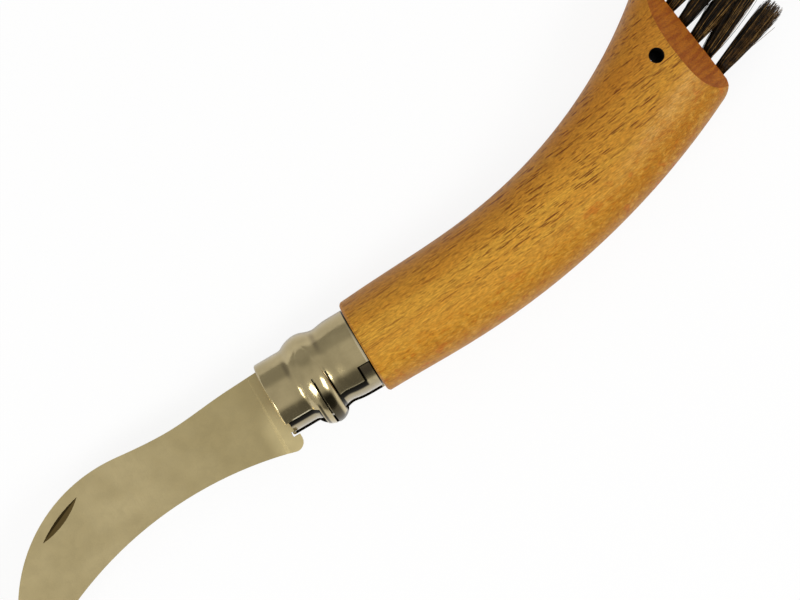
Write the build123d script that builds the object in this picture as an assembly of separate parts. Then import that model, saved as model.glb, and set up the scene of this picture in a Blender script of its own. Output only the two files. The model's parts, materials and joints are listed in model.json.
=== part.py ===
from build123d import *
import math
import os

# Mushroom knife with a curved wooden handle, a turning lock ring, a folding hooked blade and a brush.
# The knife lies on its side. While it is drawn, X runs along the collar towards the blade tip,
# Y points to the side that the cutting edge faces, and Z points up from the surface it lies on.
# X is zero at the front face of the wood, Y and Z are zero on the axis of the collar.
# Lengths are millimetres and angles are degrees.

# Handle
HALF_THICKNESS = 11.1
CONVEX_START = (0.0, 11.15)
CONVEX_SLOPE = 0.0
CONVEX_STRAIGHT = 17.6
CONVEX_RADIUS = 182.6
CONVEX_LENGTH = 117.4
CONCAVE_START = (0.0, -11.3)
CONCAVE_SLOPE = 3.2
CONCAVE_STRAIGHT = 27.0
CONCAVE_RADIUS = 112.0
CONCAVE_LENGTH = 105.0
HANDLE_SECTIONS = 8
SECTION_POINTS = 24
FRONT_ROUNDNESS = 2.0
REAR_ROUNDNESS = 2.9
FRONT_ROUNDING = 1.0

# Brush end of the handle: a narrow flat strip with a bevel above and below it
STRIP_POINT = (-95.92, -32.6)
STRIP_TILT = 7.9
STRIP_HALF_WIDTH = 5.6
BEVEL_LENGTH = 6.1
CORNER_CONCAVE = -6.4
CORNER_CONVEX = 24.6
CORNER_SETBACK = 2.4
CORNER_CUT = 0.75

# Lanyard hole
LANYARD_CENTRE = (-87.5, -22.6)
LANYARD_RADIUS = 1.65

# Collar: rear cylinder, shallow groove, low bead and front cylinder, as outer radii
REAR_RADIUS = 9.8
REAR_END = 2.5
GROOVE_POINTS = [(6.2, 9.58), (7.9, 9.36), (9.4, 9.68)]
BEAD_PEAK = (12.2, 10.38)
BEAD_FRONT_POINTS = [(14.6, 9.95), (15.9, 9.33)]
BEAD_END_X = 17.0
FRONT_RADIUS = 9.0
COLLAR_WALL = 0.6
RING_CLEARANCE = 0.06

# Lock ring: its ridge is turned about an axis nearer to the gap, and reaches into the gap as a slit tab.
# Each slit has a place along the axis and a width.
RING_REAR = 0.2
RING_FRONT = 23.2
RING_LIP = 0.5
RIDGE_SHIFT = 0.65
RIDGE_START = (9.2, 8.5)
RIDGE_PEAK = (12.2, 10.88)
RIDGE_END = (16.6, 8.0)
GAP_START = 40.0
GAP_END = 98.0
TAB_REAR = 9.5
TAB_FRONT = 15.0
TAB_END = 82.0
NOTCH_START = 17.0
NOTCH_DEPTH = 3.2
SLITS = [(9.6, 0.35), (12.9, 0.5)]

# Fixed ferrule and the wooden spigot inside it
FERRULE_REAR = 0.05
FERRULE_FRONT = 22.4
FERRULE_SLOT = 2.4
SPIGOT_STEPS = [(2.4, 8.5), (2.9, 8.05), (15.2, 8.05), (15.8, 7.7), (22.0, 7.7)]

# Pivot pin
PIVOT = (11.8, 2.0)
PIN_RADIUS = 1.4
PIN_HALF_LENGTH = 9.05
PIN_CHAMFER = 0.6
PIN_SEAT_CLEARANCE = 0.02
PIN_RUN_CLEARANCE = 0.05

# Blade
BLADE_THICKNESS = 1.7
EDGE_THICKNESS = 0.25
EDGE_CENTRE = (48.31, 97.64)
EDGE_RADIUS = 88.64
HUMP_CENTRE = (63.99, 29.21)
HUMP_RADIUS = 36.38
SPINE_START = (21.5, -7.62)
SPINE_KINK = (30.8, -7.2)
SPINE_WAIST = (46.0, -6.05)
HUMP_START_X = 60.0
HEEL_X = 24.6
HEEL_MIDDLE = (22.5, 11.8)
HEEL_BACK = (21.8, 10.2)
RELIEF_TOP = 9.2
RELIEF_X = 23.4
TANG_BOTTOM = 8.05
TANG_RADIUS = 5.5
TANG_STEP = (21.25, -4.2)
GRIND_START_X = 25.6
GRIND_HEIGHT = 24.0
GRIND_TURN_START = -150.0
GRIND_TURN = 120.0
PLUNGE_RUN = 1.2
NICK_START = (71.8, -3.75)
NICK_END = (83.5, 1.35)
NICK_EDGE_BULGE = 1.2
NICK_EDGE_WALL = 20.0
NICK_SPINE_BULGE = 0.65
NICK_SPINE_WALL = 38.0
TOOTH_COUNT = 8
TOOTH_PITCH = 1.6
TOOTH_DEPTH = 0.75
FIRST_TOOTH_FROM_TIP = 2.0
CLOSING_ANGLE = 176.0

# Blade slot in the wood
SLOT_WIDTH = 2.3
SLOT_CLEARANCE = 0.8
SLOT_OUTSIDE = 18.0
SLOT_FRONT = [(24.0, -8.9), (21.0, -8.9), (21.0, -5.2), (3.0, -5.2), (1.0, -7.9)]
SLOT_FLOOR_START_X = -1.7
SLOT_FLOOR_END_X = -78.2

# Brush: columns along the strip, rows across it, all leaning the same way
TUFT_COLUMNS = 6
TUFT_ROWS = 3
COLUMN_START = -2.1
COLUMN_PITCH = 4.42
ROW_PITCH = 3.4
BRISTLE_LEAN = 22.5
TUFT_HOLE_RADIUS = 1.3
TUFT_HOLE_DEPTH = 5.0
ROOT_RADIUS = 1.22
ROOT_TOP = -0.3
ROOT_BOTTOM = -3.6
STRANDS_PER_TUFT = 24
STRAND_LENGTH = 19.6
STRAND_SUNK = 0.6
STRAND_RAGGED = 2.2
STRAND_BASE_SIDE = 0.22
STRAND_TIP_SIDE = 0.16
BASE_SPREAD = 0.98
TIP_SPREAD_ALONG = 2.0
TIP_SPREAD_ACROSS = 1.5
GOLDEN_ANGLE = 137.508
GOLDEN_FRACTION = 0.618
ANCHOR_SIZE = (2.3, 0.35, 1.1)
ANCHOR_DEPTH = 4.3

CUT_REACH = 40.0
SOLID_BAR = 60.0


def along_side(start, slope, straight, radius, distance):
    """Point of a handle side: a straight run from the front, then an arc that bends towards -Y."""
    lean = math.radians(slope)
    run = min(distance, straight)
    x = start[0] - run * math.cos(lean)
    y = start[1] - run * math.sin(lean)
    if distance <= straight:
        return (x, y)
    centre_x = x + radius * math.sin(lean)
    centre_y = y - radius * math.cos(lean)
    turned = lean + (distance - straight) / radius
    return (centre_x - radius * math.sin(turned), centre_y + radius * math.cos(turned))


def handle_section(fraction):
    """Cross-section of the handle at a fraction of its length: round in front, a full oval behind."""
    convex = along_side(CONVEX_START, CONVEX_SLOPE, CONVEX_STRAIGHT, CONVEX_RADIUS, fraction * CONVEX_LENGTH)
    concave = along_side(
        CONCAVE_START, CONCAVE_SLOPE, CONCAVE_STRAIGHT, CONCAVE_RADIUS, fraction * CONCAVE_LENGTH
    )
    across = Vector(convex[0] - concave[0], convex[1] - concave[1], 0)
    middle = Vector((convex[0] + concave[0]) / 2, (convex[1] + concave[1]) / 2, 0)
    half_width = across.length / 2
    power = FRONT_ROUNDNESS + (REAR_ROUNDNESS - FRONT_ROUNDNESS) * fraction
    points = []
    for step in range(SECTION_POINTS):
        turn = math.pi + 2 * math.pi * step / SECTION_POINTS
        x_share = abs(math.cos(turn) / half_width) ** power
        y_share = abs(math.sin(turn) / HALF_THICKNESS) ** power
        reach = (x_share + y_share) ** (-1 / power)
        points.append((reach * math.cos(turn), reach * math.sin(turn)))
    outline = Spline(points, periodic=True)
    plane = Plane(origin=middle, x_dir=across, z_dir=across.cross(Vector(0, 0, 1)))
    return plane * make_face(outline)


def strip_plane():
    """Plane of the brush strip: local X runs along the strip towards +Y, local Z points outwards."""
    tilt = math.radians(STRIP_TILT)
    return Plane(
        origin=(STRIP_POINT[0], STRIP_POINT[1], 0),
        x_dir=(-math.sin(tilt), math.cos(tilt), 0),
        z_dir=(-math.cos(tilt), -math.sin(tilt), 0),
    )


def strip_point(along, inwards):
    """Point of the XY plane at a place along the strip and a distance inside it."""
    point = strip_plane().from_local_coords(Vector(along, 0, -inwards))
    return (point.X, point.Y)


def end_cutter():
    """All that is cut off beyond the strip, with both corners of the end rounded."""
    convex_start = strip_point(CORNER_CONVEX + CORNER_CUT, CORNER_SETBACK)
    convex_middle = strip_point(CORNER_CONVEX - CORNER_CUT, CORNER_CUT)
    convex_end = strip_point(CORNER_CONVEX - CORNER_SETBACK, 0)
    concave_start = strip_point(CORNER_CONCAVE + CORNER_SETBACK, 0)
    concave_middle = strip_point(CORNER_CONCAVE + CORNER_CUT, CORNER_CUT)
    concave_end = strip_point(CORNER_CONCAVE - CORNER_CUT, CORNER_SETBACK)
    outside_convex = strip_point(CORNER_CONVEX + CUT_REACH, CORNER_SETBACK)
    outside_concave = strip_point(CORNER_CONCAVE - CUT_REACH, CORNER_SETBACK)
    far_concave = strip_point(CORNER_CONCAVE - CUT_REACH, -CUT_REACH)
    far_convex = strip_point(CORNER_CONVEX + CUT_REACH, -CUT_REACH)
    outline = [
        Line(outside_convex, convex_start),
        ThreePointArc(convex_start, convex_middle, convex_end),
        Line(convex_end, concave_start),
        ThreePointArc(concave_start, concave_middle, concave_end),
        Polyline(concave_end, outside_concave, far_concave, far_convex, outside_convex),
    ]
    return extrude(make_face(outline), CUT_REACH, both=True)


def bevel_cutter(side):
    """Wedge that bevels the brush end, above the strip for side 1 and below it for side -1."""
    drop = (HALF_THICKNESS - STRIP_HALF_WIDTH) / BEVEL_LENGTH
    outer = (BEVEL_LENGTH, side * (STRIP_HALF_WIDTH - drop * BEVEL_LENGTH))
    inner = (-2 * BEVEL_LENGTH, side * (STRIP_HALF_WIDTH + 2 * drop * BEVEL_LENGTH))
    corner = (BEVEL_LENGTH, side * (STRIP_HALF_WIDTH + 2 * drop * BEVEL_LENGTH))
    strip = strip_plane()
    profile_plane = Plane(origin=strip.origin, x_dir=strip.z_dir, z_dir=strip.x_dir)
    height_sign = profile_plane.y_dir.Z
    points = [(point[0], height_sign * point[1]) for point in (outer, inner, corner)]
    return extrude(profile_plane * make_face(Polyline(*points, close=True)), SOLID_BAR, both=True)


def front_cutter():
    """Turned ring that rounds the front edge of the wood."""
    radius = (CONVEX_START[1] - CONCAVE_START[1]) / 2
    start = (0, radius - FRONT_ROUNDING)
    middle = (-0.3 * FRONT_ROUNDING, radius - 0.27 * FRONT_ROUNDING)
    end = (-1.25 * FRONT_ROUNDING, radius + 0.1 * FRONT_ROUNDING)
    rim = radius + 2 * FRONT_ROUNDING
    ahead = 2 * FRONT_ROUNDING
    outline = [
        ThreePointArc(start, middle, end),
        Polyline(end, (end[0], rim), (ahead, rim), (ahead, start[1]), start),
    ]
    centre_y = (CONVEX_START[1] + CONCAVE_START[1]) / 2
    return Pos(0, centre_y, 0) * revolve(make_face(outline), Axis.X, 360)


def turned_closed(point):
    """Where a point of the open blade lies when the blade is folded."""
    turn = math.radians(CLOSING_ANGLE)
    x = point[0] - PIVOT[0]
    y = point[1] - PIVOT[1]
    return (
        PIVOT[0] + x * math.cos(turn) - y * math.sin(turn),
        PIVOT[1] + x * math.sin(turn) + y * math.cos(turn),
    )


def circle_y(centre, radius, x, side):
    """Y of a circle at X, on its +Y side for side 1 and on its -Y side for side -1."""
    return centre[1] + side * math.sqrt(radius ** 2 - (x - centre[0]) ** 2)


def blade_tip():
    """Tip of the blade, where the circle of the edge meets the circle of the hump."""
    across_x = HUMP_CENTRE[0] - EDGE_CENTRE[0]
    across_y = HUMP_CENTRE[1] - EDGE_CENTRE[1]
    between = math.hypot(across_x, across_y)
    reach = (EDGE_RADIUS ** 2 - HUMP_RADIUS ** 2 + between ** 2) / (2 * between)
    offset = math.sqrt(EDGE_RADIUS ** 2 - reach ** 2)
    foot_x = EDGE_CENTRE[0] + reach * across_x / between
    foot_y = EDGE_CENTRE[1] + reach * across_y / between
    return (foot_x - offset * across_y / between, foot_y + offset * across_x / between)


def slot_cutter():
    """Slot for the folded blade: its floor follows the edge and its end clears the path of the tip."""
    centre = turned_closed(EDGE_CENTRE)
    radius = EDGE_RADIUS - SLOT_CLEARANCE
    tip = blade_tip()
    end_radius = math.hypot(tip[0] - PIVOT[0], tip[1] - PIVOT[1]) + SLOT_CLEARANCE
    floor_start = (SLOT_FLOOR_START_X, circle_y(centre, radius, SLOT_FLOOR_START_X, 1))
    floor_middle = (centre[0], centre[1] + radius)
    floor_end = (SLOT_FLOOR_END_X, circle_y(centre, radius, SLOT_FLOOR_END_X, 1))
    end_foot_x = PIVOT[0] - math.sqrt(end_radius ** 2 - (floor_end[1] - PIVOT[1]) ** 2)
    end_middle = (PIVOT[0] - end_radius, PIVOT[1])
    end_top = (PIVOT[0] - math.sqrt(end_radius ** 2 - (SLOT_OUTSIDE - PIVOT[1]) ** 2), SLOT_OUTSIDE)
    outline = [
        Polyline((SLOT_FRONT[0][0], SLOT_OUTSIDE), *SLOT_FRONT, floor_start),
        ThreePointArc(floor_start, floor_middle, floor_end),
        Line(floor_end, (end_foot_x, floor_end[1])),
        ThreePointArc((end_foot_x, floor_end[1]), end_middle, end_top),
        Line(end_top, (SLOT_FRONT[0][0], SLOT_OUTSIDE)),
    ]
    return extrude(make_face(outline), SLOT_WIDTH / 2, both=True)


def spigot():
    """Stepped wooden spigot that the ferrule is pressed on."""
    root = (-3.0, SPIGOT_STEPS[0][1])
    profile = Polyline((root[0], 0), root, *SPIGOT_STEPS, (SPIGOT_STEPS[-1][0], 0), close=True)
    return revolve(make_face(profile), Axis.X, 360)


def pin_bore(clearance):
    """Bore for the pivot pin, along Z."""
    return Pos(PIVOT[0], PIVOT[1], 0) * Cylinder(PIN_RADIUS + clearance, CUT_REACH)


def tuft_plane(column, row):
    """Plane at the mouth of a tuft hole: local Z runs out along the bristles, local Y is the depth Z."""
    along = COLUMN_START + COLUMN_PITCH * column
    mouth = strip_point(along, 0)
    lean = math.radians(BRISTLE_LEAN)
    direction = Vector(-math.cos(lean), -math.sin(lean), 0)
    height = (row - (TUFT_ROWS - 1) / 2) * ROW_PITCH
    return Plane(
        origin=(mouth[0], mouth[1], height),
        x_dir=direction.cross(Vector(0, 0, 1)),
        z_dir=direction,
    )


def make_handle():
    sections = [handle_section(step / (HANDLE_SECTIONS - 1)) for step in range(HANDLE_SECTIONS)]
    wood = loft(sections)
    wood = wood - front_cutter()
    wood = wood + spigot()
    wood = wood - end_cutter()
    wood = wood - bevel_cutter(1)
    wood = wood - bevel_cutter(-1)
    wood = wood - slot_cutter()
    wood = wood - pin_bore(PIN_SEAT_CLEARANCE)
    wood = wood - Pos(LANYARD_CENTRE[0], LANYARD_CENTRE[1], 0) * Cylinder(LANYARD_RADIUS, CUT_REACH)
    hole = Pos(0, 0, 1 - TUFT_HOLE_DEPTH / 2) * Cylinder(TUFT_HOLE_RADIUS, TUFT_HOLE_DEPTH + 2)
    for column in range(TUFT_COLUMNS):
        for row in range(TUFT_ROWS):
            wood = wood - tuft_plane(column, row) * hole
    return wood


def collar_line(depth, rear, front, lip):
    """Edges of the collar's outer line, moved in towards the axis by depth, with a rounded front lip."""
    rear_end = (REAR_END, REAR_RADIUS - depth)
    groove = [(x, radius - depth) for x, radius in GROOVE_POINTS]
    peak = (BEAD_PEAK[0], BEAD_PEAK[1] - depth)
    bead_front = [(x, radius - depth) for x, radius in BEAD_FRONT_POINTS]
    bead_end = (BEAD_END_X, FRONT_RADIUS - depth)
    lip_start = (front - lip, FRONT_RADIUS - depth)
    level = [(1, 0), (1, 0)]
    edges = [
        Line((rear, REAR_RADIUS - depth), rear_end),
        Spline(rear_end, *groove, peak, tangents=level),
        Spline(peak, *bead_front, bead_end, tangents=level),
        Line(bead_end, lip_start),
    ]
    if lip:
        edges.append(TangentArc(lip_start, (front, FRONT_RADIUS - depth - lip), tangent=(1, 0)))
    return edges


def collar_core(depth, rear, front, lip):
    """Solid turned body under the collar's outer line, moved in towards the axis by depth."""
    rear_rim = (rear, REAR_RADIUS - depth)
    front_rim = (front, FRONT_RADIUS - depth - lip)
    closing = Polyline(rear_rim, (rear, 0), (front, 0), front_rim)
    return revolve(make_face([*collar_line(depth, rear, front, lip), closing]), Axis.X, 360)


def ridge_core(depth):
    """Solid turned body of the ridge, about its own axis, moved in towards that axis by depth."""
    start = (RIDGE_START[0] + depth / 2, RIDGE_START[1] - depth / 2)
    peak = (RIDGE_PEAK[0], RIDGE_PEAK[1] - depth)
    end = (RIDGE_END[0] - depth / 2, RIDGE_END[1] - depth / 2)
    outline = [
        TangentArc(peak, start, tangent=(-1, 0)),
        TangentArc(peak, end, tangent=(1, 0)),
        Polyline(start, (start[0], 0), (end[0], 0), end),
    ]
    return Pos(0, RIDGE_SHIFT, 0) * revolve(make_face(outline), Axis.X, 360)


def sector(rear, front, start, end):
    """Wedge about the collar's axis. Angles count from +Z towards +Y."""
    reach = CUT_REACH / math.cos(math.radians((end - start) / 2))
    points = [(0, 0)]
    for angle in (start, (start + end) / 2, end):
        turn = math.radians(angle)
        points.append((reach * math.sin(turn), reach * math.cos(turn)))
    return extrude(Plane.YZ.offset(rear) * make_face(Polyline(*points, close=True)), front - rear)


def make_locking_ring():
    outside = collar_core(0, RING_REAR, RING_FRONT, RING_LIP) + ridge_core(0)
    inside = collar_core(COLLAR_WALL, RING_REAR - 1, RING_FRONT + 1, 0) + ridge_core(COLLAR_WALL)
    ring = outside - inside
    ring = ring - sector(RING_REAR - 1, TAB_REAR, GAP_START, GAP_END)
    ring = ring - sector(TAB_FRONT, RING_FRONT + 1, GAP_START, GAP_END)
    ring = ring - sector(TAB_REAR - 1, TAB_FRONT + 1, TAB_END, GAP_END)
    ring = ring - sector(RING_REAR - 1, NOTCH_DEPTH, NOTCH_START, GAP_START + 1)
    for x, width in SLITS:
        ring = ring - sector(x - width / 2, x + width / 2, 0, TAB_END + 1)
    return ring


def make_fixed_ferrule():
    depth = COLLAR_WALL + RING_CLEARANCE
    outside = collar_core(depth, FERRULE_REAR, FERRULE_FRONT, 0)
    ferrule = outside - collar_core(depth + COLLAR_WALL, FERRULE_REAR - 1, FERRULE_FRONT + 1, 0)
    slot = Pos(FERRULE_FRONT / 2, CUT_REACH / 2, 0) * Box(CUT_REACH, CUT_REACH, FERRULE_SLOT)
    return ferrule - slot - pin_bore(PIN_SEAT_CLEARANCE)


def make_pivot_pin():
    pin = Cylinder(PIN_RADIUS, 2 * PIN_HALF_LENGTH)
    pin = chamfer(pin.edges().filter_by(GeomType.CIRCLE), PIN_CHAMFER)
    return Pos(PIVOT[0], PIVOT[1], 0) * pin


def blade_outline():
    """Outline of the open blade, from the tang round the spine, tip, edge and heel."""
    tip = blade_tip()
    hump_start = (HUMP_START_X, circle_y(HUMP_CENTRE, HUMP_RADIUS, HUMP_START_X, -1))
    hump_slope = Vector(HUMP_CENTRE[1] - hump_start[1], hump_start[0] - HUMP_CENTRE[0])
    tip_turn = math.atan2(tip[1] - HUMP_CENTRE[1], tip[0] - HUMP_CENTRE[0]) / 2 - math.pi / 4
    hump_middle = (
        HUMP_CENTRE[0] + HUMP_RADIUS * math.cos(tip_turn),
        HUMP_CENTRE[1] + HUMP_RADIUS * math.sin(tip_turn),
    )
    edge_middle = (EDGE_CENTRE[0], EDGE_CENTRE[1] - EDGE_RADIUS)
    heel = (HEEL_X, circle_y(EDGE_CENTRE, EDGE_RADIUS, HEEL_X, -1))
    kink_slope = (SPINE_KINK[0] - SPINE_START[0], SPINE_KINK[1] - SPINE_START[1])
    tang_low = (PIVOT[0], PIVOT[1] + TANG_RADIUS)
    tang_back = (PIVOT[0] - TANG_RADIUS, PIVOT[1])
    tang_high = (PIVOT[0], PIVOT[1] - TANG_RADIUS)
    return [
        Line(SPINE_START, SPINE_KINK),
        Spline(SPINE_KINK, SPINE_WAIST, hump_start, tangents=[kink_slope, hump_slope]),
        ThreePointArc(hump_start, hump_middle, tip),
        ThreePointArc(tip, edge_middle, heel),
        ThreePointArc(heel, HEEL_MIDDLE, HEEL_BACK),
        Polyline(
            HEEL_BACK,
            (HEEL_BACK[0], RELIEF_TOP),
            (RELIEF_X, RELIEF_TOP),
            (RELIEF_X, TANG_BOTTOM),
            tang_low,
        ),
        ThreePointArc(tang_low, tang_back, tang_high),
        Polyline(tang_high, TANG_STEP, SPINE_START),
    ]


def grind_cutter(side):
    """Curved wedge about the centre of the edge that thins the blade evenly, with a sloping rear end."""
    inside = (EDGE_RADIUS - GRIND_HEIGHT, side * (EDGE_THICKNESS - BLADE_THICKNESS / 2))
    back = (EDGE_RADIUS + GRIND_HEIGHT, side * BLADE_THICKNESS / 2)
    above = [(back[0], side * BLADE_THICKNESS), (inside[0], side * BLADE_THICKNESS)]
    profile = Rot(0, 0, GRIND_TURN_START) * (Plane.XZ * make_face(Polyline(inside, back, *above, close=True)))
    wedge = revolve(profile, Axis.Z, GRIND_TURN)
    far = GRIND_START_X + 2 * SOLID_BAR
    low = (GRIND_START_X + PLUNGE_RUN, 0)
    high = (GRIND_START_X, side * BLADE_THICKNESS / 2)
    field_side = Polyline(low, high, (high[0], side * SOLID_BAR), (far, side * SOLID_BAR), (far, 0), close=True)
    field = extrude(Plane.XZ * make_face(field_side), SOLID_BAR, both=True)
    return (Pos(EDGE_CENTRE[0], EDGE_CENTRE[1], 0) * wedge) & field


def nick_ball(half_length, bulge, wall_angle, side):
    """Ball that cuts one curved side of the nail nick, with a wall that slopes at that angle."""
    circle = (half_length ** 2 + bulge ** 2) / (2 * bulge)
    wall = math.radians(wall_angle)
    return Pos(0, side * (bulge - circle), circle / math.tan(wall)) * Sphere(circle / math.sin(wall))


def nick_cutter():
    """Nail nick in the ground face: a lens with a steep wall to the spine and a flat one to the edge."""
    chord = Vector(NICK_END[0] - NICK_START[0], NICK_END[1] - NICK_START[1])
    middle = ((NICK_START[0] + NICK_END[0]) / 2, (NICK_START[1] + NICK_END[1]) / 2)
    from_edge = math.hypot(middle[0] - EDGE_CENTRE[0], middle[1] - EDGE_CENTRE[1]) - EDGE_RADIUS
    taper = (BLADE_THICKNESS - EDGE_THICKNESS) / GRIND_HEIGHT
    surface = (EDGE_THICKNESS + taper * from_edge) / 2
    edge_side = nick_ball(chord.length / 2, NICK_EDGE_BULGE, NICK_EDGE_WALL, 1)
    spine_side = nick_ball(chord.length / 2, NICK_SPINE_BULGE, NICK_SPINE_WALL, -1)
    turn = math.degrees(math.atan2(chord.Y, chord.X))
    return Pos(middle[0], middle[1], surface) * Rot(0, 0, turn) * (edge_side & spine_side)


def tooth_cutters():
    """Small V notches along the spine near the tip."""
    tip = blade_tip()
    tip_angle = math.atan2(tip[1] - HUMP_CENTRE[1], tip[0] - HUMP_CENTRE[0])
    half = TOOTH_PITCH / 2
    outline = Polyline((TOOTH_DEPTH, -2 * half), (TOOTH_DEPTH, 2 * half), (-TOOTH_DEPTH, 0), close=True)
    notch = extrude(make_face(outline), BLADE_THICKNESS, both=True)
    cutters = []
    for tooth in range(TOOTH_COUNT):
        distance = FIRST_TOOTH_FROM_TIP + tooth * TOOTH_PITCH
        angle = math.degrees(tip_angle - distance / HUMP_RADIUS)
        place = Pos(HUMP_CENTRE[0], HUMP_CENTRE[1], 0) * Rot(0, 0, angle) * Pos(HUMP_RADIUS, 0, 0)
        cutters.append(place * notch)
    return cutters


def make_blade():
    blade = extrude(make_face(blade_outline()), BLADE_THICKNESS / 2, both=True)
    blade = blade - grind_cutter(1) - grind_cutter(-1)
    blade = blade - nick_cutter()
    blade = blade - tooth_cutters()
    return blade - pin_bore(PIN_RUN_CLEARANCE)


def strand(index):
    """One tapered square bristle, from inside the root to its own tip."""
    turn = math.radians(index * GOLDEN_ANGLE)
    reach = math.sqrt((index + 0.5) / STRANDS_PER_TUFT)
    length = STRAND_LENGTH - STRAND_RAGGED * ((index * GOLDEN_FRACTION) % 1)
    x = reach * math.cos(turn)
    y = reach * math.sin(turn)
    base = Pos(BASE_SPREAD * x, BASE_SPREAD * y, ROOT_TOP - STRAND_SUNK)
    tip = Pos(TIP_SPREAD_ALONG * x, TIP_SPREAD_ACROSS * y, length)
    base_end = base * Rectangle(STRAND_BASE_SIDE, STRAND_BASE_SIDE)
    tip_end = tip * Rectangle(STRAND_TIP_SIDE, STRAND_TIP_SIDE)
    return loft([base_end, tip_end], ruled=True)


def make_tuft():
    """Tuft of straight bristles that fan out from the root packed into the hole."""
    root = Pos(0, 0, (ROOT_TOP + ROOT_BOTTOM) / 2) * Cylinder(ROOT_RADIUS, ROOT_TOP - ROOT_BOTTOM)
    return root + [strand(index) for index in range(STRANDS_PER_TUFT)]


def make_anchors():
    """Flat wire anchors, one at the bottom of each hole."""
    anchor = Pos(0, 0, -ANCHOR_DEPTH) * Box(*ANCHOR_SIZE)
    anchors = []
    for column in range(TUFT_COLUMNS):
        for row in range(TUFT_ROWS):
            anchors.append(tuft_plane(column, row) * anchor)
    return Compound(children=anchors)


def make_nodes():
    nodes = {
        "handle": make_handle(),
        "fixed_ferrule": make_fixed_ferrule(),
        "locking_ring": make_locking_ring(),
        "pivot_pin": make_pivot_pin(),
        "blade": make_blade(),
    }
    tuft = make_tuft()
    number = 1
    for column in range(TUFT_COLUMNS):
        for row in range(TUFT_ROWS):
            nodes[f"bristle_tuft_{number:02d}"] = tuft_plane(column, row) * tuft
            number += 1
    nodes["tuft_anchors"] = make_anchors()
    return nodes


def main():
    nodes = make_nodes()
    boxes = [shape.bounding_box() for shape in nodes.values()]
    low = [min(box.min.X for box in boxes), min(box.min.Y for box in boxes), min(box.min.Z for box in boxes)]
    high = [max(box.max.X for box in boxes), max(box.max.Y for box in boxes)]
    shift = (-(low[0] + high[0]) / 2, -(low[1] + high[1]) / 2, -low[2])
    print("moved to the middle of the base by", [round(value, 3) for value in shift])
    print("pivot", round(PIVOT[0] + shift[0], 3), round(PIVOT[1] + shift[1], 3), round(shift[2], 3))
    print("collar axis", round(shift[1], 3), round(shift[2], 3))
    lanyard = (LANYARD_CENTRE[0] + shift[0], LANYARD_CENTRE[1] + shift[1])
    print("lanyard hole", round(lanyard[0], 3), round(lanyard[1], 3))
    os.makedirs("parts", exist_ok=True)
    for name, shape in nodes.items():
        export_step(Pos(*shift) * shape, f"parts/{name}.step")


main()
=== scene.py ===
import json
import math
import random
from collections import namedtuple

import bpy
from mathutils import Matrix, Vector


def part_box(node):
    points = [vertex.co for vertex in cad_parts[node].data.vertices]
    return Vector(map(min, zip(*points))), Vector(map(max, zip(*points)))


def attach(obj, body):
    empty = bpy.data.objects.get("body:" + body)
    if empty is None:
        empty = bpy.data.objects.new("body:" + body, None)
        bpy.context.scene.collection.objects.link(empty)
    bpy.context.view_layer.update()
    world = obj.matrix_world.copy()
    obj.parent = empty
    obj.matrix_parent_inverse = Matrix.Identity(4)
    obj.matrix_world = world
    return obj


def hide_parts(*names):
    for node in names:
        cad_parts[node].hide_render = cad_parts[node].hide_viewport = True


# Mushroom knife lying on its side on a white floor, seen from straight above.
# Lengths are in millimetres, which MM turns into metres. Those of the floor, the lamps and
# the camera's clips are in metres. Angles are in degrees.
# Colours are as a screen shows them: red, green and blue from 0 to 255.

# A noise: the size of its cells, how many finer steps it has, and how strong they are
Pattern = namedtuple("Pattern", "size detail roughness")

# A colour that comes in as a value goes from low to high, and how strong it gets
Layer = namedtuple("Layer", "low high strength colour")

# Short dashes: the size of the cell that each lies in, its half size in cells, and its strength
Dashes = namedtuple("Dashes", "size reach strength")

# A mark on the collar: where it comes in and goes out along X and around the axis, and its strength
Mark = namedtuple("Mark", "along around strength")

# A steel: its two tones, its roughness from low to high, the size and depth of its lines, and its clouds
Steel = namedtuple("Steel", "light dark roughness line_size line_depth cloud")

MM = 0.001
FULL_SCREEN = 255

# Photograph: where the front face of the wood meets the axis of the collar, and its scale
PHOTO_SIZE = (800, 600)
WOOD_FACE_PIXEL = (363.5, 348.0)
PIXELS_PER_MM = 4.5
PHOTO_TURN = 149.5
CAMERA_DISTANCE = 520.0
SENSOR_WIDTH = 36.0
CLIP_START = 0.05
CLIP_END = 20.0

# Usual half width of the soft edge of a mask
SOFT_EDGE = 0.1

# Wood: how its grain lies and sways, and the line that the curved handle follows
GRAIN_TURN = 3.5
GRAIN_BEND = 0.15
SWAY = Pattern((34, 13, 13), 1.5, 0.5)
SWAY_REACH = 1.4
MIDDLE_OF_NOISE = (0.5, 0.5, 0.5)
CURVE_START = -17.0
CURVE_RADIUS = 147.0

# Wood: its figure along the grain, and painted shade along the spine's side and the edge's side of the handle
GROWTH = Pattern((85, 2.1, 4.5), 3.0, 0.55)
STREAK = Pattern((22, 0.42, 0.9), 2.0, 0.6)
FIBRE = Pattern((1.1, 0.22, 0.22), 3.0, 0.65)
PATCHES = Pattern((22, 9, 14), 2.0, 0.5)
HONEY = (210, 156, 54)
GROWTH_LAYER = Layer(0.34, 0.68, 1.0, (204, 145, 46))
STREAK_LAYER = Layer(0.42, 0.78, 0.40, (162, 100, 20))
PATCH_LAYER = Layer(0.42, 0.72, 0.28, (194, 123, 28))
SPINE_EDGE_PAINTED_SHADE = Layer(-1.0, -11.0, 0.56, (164, 98, 24))
EDGE_SIDE_PAINTED_SHADE = Layer(3.0, 11.0, 0.70, (168, 108, 22))
REAR_LAYER = Layer(-45.0, -85.0, 0.32, (168, 104, 22))
FIBRE_TONE = (0.34, 0.66, 0.72, 1.17)

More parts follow.
